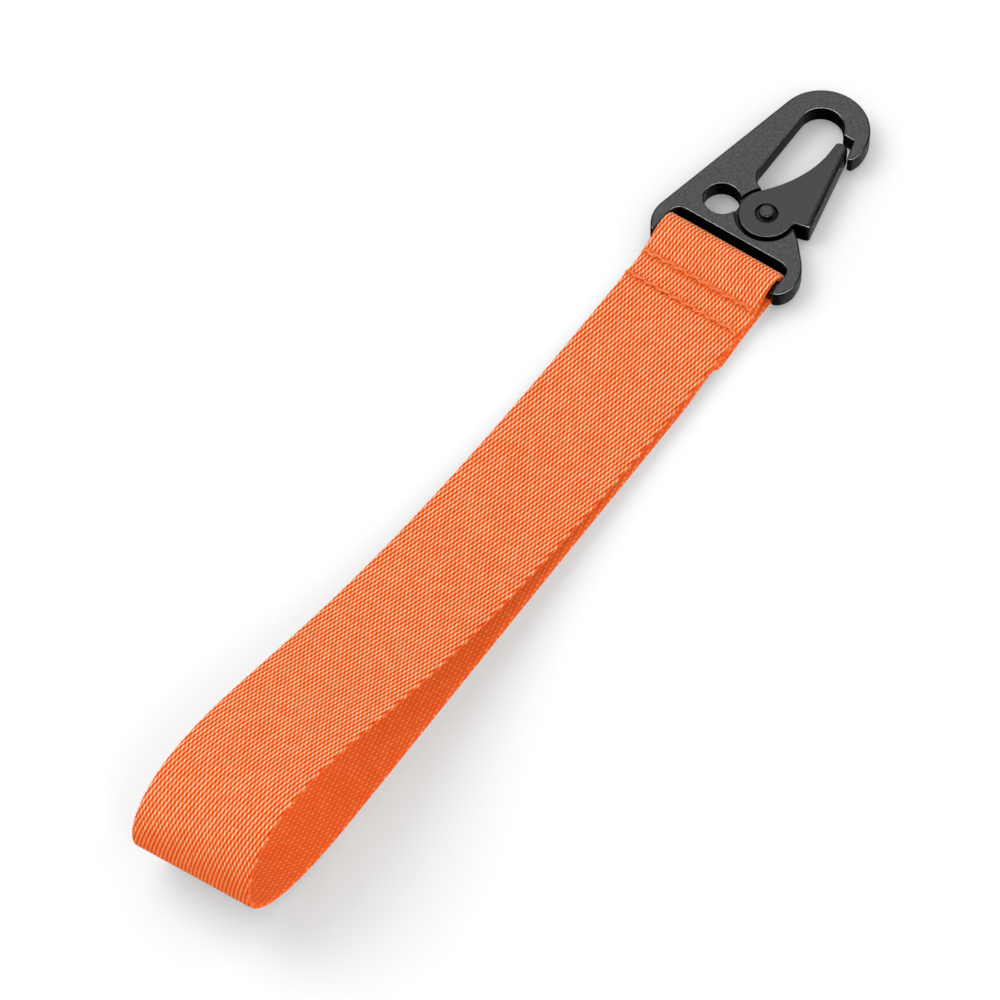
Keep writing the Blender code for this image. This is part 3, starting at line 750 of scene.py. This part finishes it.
PAINT = [(0.3, srgb(7, 8, 9)), (0.7, srgb(19, 20, 21))]
# painted shade: the colour that corners, holes and the walls of openings take on
PAINTED_CORNER_SHADE = (*srgb(3, 3, 3), 1.0)
STEEL = [(0.3, (0.42, 0.42, 0.43)), (0.7, (0.62, 0.62, 0.63))]
METAL_NOISES = ((4400.0, 1.0), (900.0, 2.0), (140.0, 3.0))  # scale per metre and detail: fine to cloudy
GRAIN_EDGE = (0.3, 0.7)
SOFT_EDGE = 0.04
NEAR_SKY, NEAR_EDGE = 1.2, (0.4, 0.92)  # reach of a look for open sky, and where a corner's painted shade starts and ends
FAR_SKY, FAR_EDGE = 6.0, (0.28, 0.52)
OPENING_WALL_SHADE = 0.12  # painted shade: share of the paint's colour, the shine and the glow that is left on the walls of an opening
LOW_VIEW_GLOSS = 0.12  # and of the gloss in low views
FLAT_FACE = (0.9, 0.975)  # rise of a normal, from form to flat face
OFF_WALL = (0.95, 0.86)  # cosine of the angle between the mirrored direction and the wall's, from on to off
LOW_VIEW = (0.75, 0.4)  # rise of the line of sight, from high to low view
FACE_PAINTED_SHINE = 0.072  # painted reflection: the glow a flat face shows when it mirrors nothing bright
SIDE_PAINTED_SHINE = (0.012, 0.075)  # painted light: the same glow on other faces, from facing down to facing up, in low views
SIDE_RISE = (-0.3, 1.0)
# colour of the painted glow that stands for the room's light on the metal
SHINE_COLOR = (0.97, 1.0, 1.0, 1.0)


def wall_of_opening(g, place, start, end, reach):
    """1 on the upright walls of an opening, given by the line along its middle, and 0 elsewhere."""
    start, end = Vector((*start, 0.0)) * MM, Vector((*end, 0.0)) * MM
    flat = g.vector("MULTIPLY", place, (1.0, 1.0, 0.0)).outputs["Vector"]
    from_start = g.vector("SUBTRACT", flat, start).outputs["Vector"]
    share = g.math("MULTIPLY", g.dot(from_start, end - start), 1.0 / (end - start).length_squared,
                   clamp=True)
    nearest = g.node("VectorMath", operation="SCALE")
    g.feed(nearest.inputs[0], end - start)
    g.feed(nearest.inputs["Scale"], share)
    away = g.vector("DISTANCE", from_start, nearest.outputs[0]).outputs["Value"]
    rise = g.math("ABSOLUTE", g.dot(g.node("TexCoord").outputs["Normal"], UP))
    return g.math("MULTIPLY", g.step(away, (reach + 0.3) * MM, reach * MM), g.step(rise, 0.6, 0.1))


def painted_shade_factor(g, place, openings):
    """Painted shade: 1 on open faces, less in corners and holes and on the walls of these openings."""
    near = g.step(g.open_sky(NEAR_SKY), *NEAR_EDGE)
    share = g.math("MULTIPLY", near, g.step(g.open_sky(FAR_SKY), *FAR_EDGE))
    for start, end, reach in openings:
        wall = wall_of_opening(g, place, start, end, reach)
        share = g.math("MULTIPLY", share, g.between(wall, 1.0, OPENING_WALL_SHADE))
    return share


def room_from_elsewhere(g):
    """How satin metal shines from the sides where the studio has no wall to mirror.

    Gives the share of the gloss that is left, and the faint glow that stands for a room's light: on flat
    faces that don't mirror the wall, and on all others in low views.
    """
    surface = g.node("NewGeometry")
    rise = g.dot(surface.outputs["Normal"], UP)
    flat = g.step(g.math("ABSOLUTE", rise), *FLAT_FACE)
    mirrored = g.node("TexCoord").outputs["Reflection"]
    unlit = g.math("MULTIPLY", flat, g.step(g.dot(mirrored, MIRRORED_WALL), *OFF_WALL))
    low_view = g.step(g.dot(surface.outputs["Incoming"], UP), *LOW_VIEW)
    gloss = g.math("MULTIPLY", g.between(unlit, 1.0, 0.0), g.between(low_view, 1.0, LOW_VIEW_GLOSS))
    # painted light: the glow in low views grows as a face turns up
    form = g.between(g.step(rise, *SIDE_RISE), *SIDE_PAINTED_SHINE)
    side_glow = g.math("MULTIPLY", g.math("MULTIPLY", low_view, g.between(flat, 1.0, 0.0)), form)
    return gloss, g.math("ADD", g.math("MULTIPLY", unlit, FACE_PAINTED_SHINE), side_glow)


def metal_material(name, grain, tone, openings=()):
    """Satin black paint on metal: fine grain, soft edges, painted shade in corners and on the walls of
    openings, and a painted glow for the room's light.
    """
    g = Graph(bpy.data.materials.new(name))
    place = g.node("TexCoord").outputs["Object"]
    fine, coarse, cloudy = (g.noise(place, scale, detail) for scale, detail in METAL_NOISES)
    grains = g.step(fine, *GRAIN_EDGE)
    mottled = g.math("MULTIPLY_ADD", fine, 0.6, g.math("MULTIPLY", cloudy, 0.4))
    height = g.math("MULTIPLY_ADD", fine, 0.5, g.math("MULTIPLY", coarse, 0.5))
    soft = g.node("Bevel", samples=6)
    soft.inputs["Radius"].default_value = SOFT_EDGE * MM
    # painted shade in corners and holes and on opening walls; it darkens the colour, the shine and the glow
    unshaded = painted_shade_factor(g, place, openings)
    gloss_left, glow = room_from_elsewhere(g)
    gloss = g.math("MULTIPLY", g.math("MULTIPLY", g.between(grains, 0.3, 0.7), tone), unshaded)
    glow = g.math("MULTIPLY", g.math("MULTIPLY", glow, unshaded), g.between(grains, 0.7, 1.3))
    # the emission is the painted glow that stands for the room's light
    g.put(Base_Color=g.mix(unshaded, PAINTED_CORNER_SHADE, g.ramp(mottled, PAINT)),
          Roughness=g.between(cloudy, 0.19, 0.24), Normal=g.bump(height, grain, soft.outputs[0]),
          Specular_IOR_Level=g.math("MULTIPLY", gloss, gloss_left),
          Emission_Color=SHINE_COLOR, Emission_Strength=glow)
    return g.owner


def steel_material():
    g = Graph(bpy.data.materials.new("spring_steel"))
    streaks = g.noise(g.node("TexCoord").outputs["Object"], 3000.0, 3.0)
    g.put(Base_Color=g.ramp(streaks, STEEL), Metallic=1.0, Roughness=g.between(streaks, 0.25, 0.4),
          Normal=g.bump(streaks, 0.01))
    return g.owner


def finish_metal():
    """The CAD's metal nodes keep their shape and get their finish and smooth shading."""
    looks = {
        "hook_frame": metal_material("cast_black", 0.023, 1.0, (HOOK_EYE, ROUND_HOLE)),
        "gate_lever": metal_material("pressed_black", 0.021, 0.8),
    }
    for node, look in looks.items():
        obj = frame["nodes"][node]
        obj.data.materials.clear()
        obj.data.materials.append(look)
        obj.data.shade_smooth()
        weld = obj.modifiers.new("Weld", "WELD")
        weld.merge_threshold = 0.001 * MM
        soften(obj)


# ---------------------------------------------------------------- stage

def direction_to(azimuth, elevation):
    """The way from the object to a place at this azimuth and elevation, in degrees; azimuth 0 is -Y."""
    a, e = math.radians(azimuth), math.radians(elevation)
    return Vector((math.sin(a) * math.cos(e), -math.cos(a) * math.cos(e), math.sin(e)))


def add_floor():
    """A white table. It takes soft shadows, and gives back light but no mirror image."""
    g = Graph(bpy.data.materials.new("pale_floor"))
    g.put(Base_Color=FLOOR_COLOR, Roughness=0.9, Specular_IOR_Level=0.0, Emission_Color=WHITE,
          Emission_Strength=FLOOR_GLOW)
    around = ((-1, -1), (1, -1), (1, 1), (-1, 1))
    corners = [(FLOOR_REACH * x, FLOOR_REACH * y, FLOOR_Z) for x, y in around]
    floor = piece("floor", corners, [(0, 1, 2, 3)], [g.owner])
    floor.visible_glossy = False


def add_light(name, azimuth, elevation, distance, size, power):
    """A round soft light that shines at the object's middle."""
    light = bpy.data.lights.new(name, "AREA")
    light.shape = "DISK"
    light.size = size * MM
    light.energy = power
    away = direction_to(azimuth, elevation)
    obj = bpy.data.objects.new(name, light)
    obj.location = (Vector(LIGHT_AIM) + away * distance) * MM
    obj.rotation_euler = away.to_track_quat("Z", "Y").to_euler()
    bpy.context.scene.collection.objects.link(obj)


def add_world():
    """An even white room for the cloth and the table.

    The black metal mirrors another one: dark overhead and behind, a wall that the flat faces show in the
    camera's view, a bright band low in front and at the right for the rounded edges, and a dim glow under
    the right side.
    """
    world = bpy.data.worlds.new("studio")
    bpy.context.scene.world = world
    world.cycles.sampling_method = "NONE"  # so that each ray sees the room meant for its kind
    g = Graph(world, "Background")
    toward = g.node("TexCoord").outputs["Generated"]
    height = g.dot(toward, UP)
    wall = g.step(g.dot(toward, MIRRORED_WALL), *WALL_EDGE)
    band = g.math("MULTIPLY", g.step(height, *BAND_LOW_EDGE), g.step(height, *BAND_HIGH_EDGE))
    band = g.math("MULTIPLY", band, g.step(g.dot(toward, BAND_SIDE), *BAND_SIDE_EDGE))
    under = g.step(g.dot(toward, UNDER_GLOW), *UNDER_EDGE)
    mirrored = g.math("MULTIPLY_ADD", wall, WALL_LIGHT, MIRRORED_DARK)
    mirrored = g.math("MULTIPLY_ADD", band, BAND_LIGHT, mirrored)
    mirrored = g.math("MULTIPLY_ADD", under, UNDER_LIGHT, mirrored)
    room = g.math("MULTIPLY_ADD", g.node("LightPath").outputs["Is Glossy Ray"],
                  g.math("SUBTRACT", mirrored, ROOM_LIGHT), ROOM_LIGHT)
    g.put(Color=WHITE, Strength=room)


def add_camera():
    back = direction_to(VIEW_AZIMUTH, VIEW_ELEVATION)
    data = bpy.data.cameras.new("camera")
    data.lens = LENS
    data.sensor_width = SENSOR
    data.clip_start, data.clip_end = CLIP_START * MM, CLIP_END * MM
    camera = bpy.data.objects.new("camera", data)
    camera.location = (Vector(VIEW_AIM) + back * VIEW_DISTANCE) * MM
    camera.rotation_euler = (-back).to_track_quat("-Z", "Y").to_euler()
    bpy.context.scene.collection.objects.link(camera)
    bpy.context.scene.camera = camera


def add_stage():
    add_floor()
    add_world()
    add_light("key", **KEY_LIGHT)
    add_light("rim", **RIM_LIGHT)
    add_camera()
    bpy.context.scene.view_settings.view_transform = "Standard"


add_webbing()
add_threads()
add_spring()
add_rivet(metal_material("rivet_black", 0.018, 0.95))
finish_metal()
add_stage()
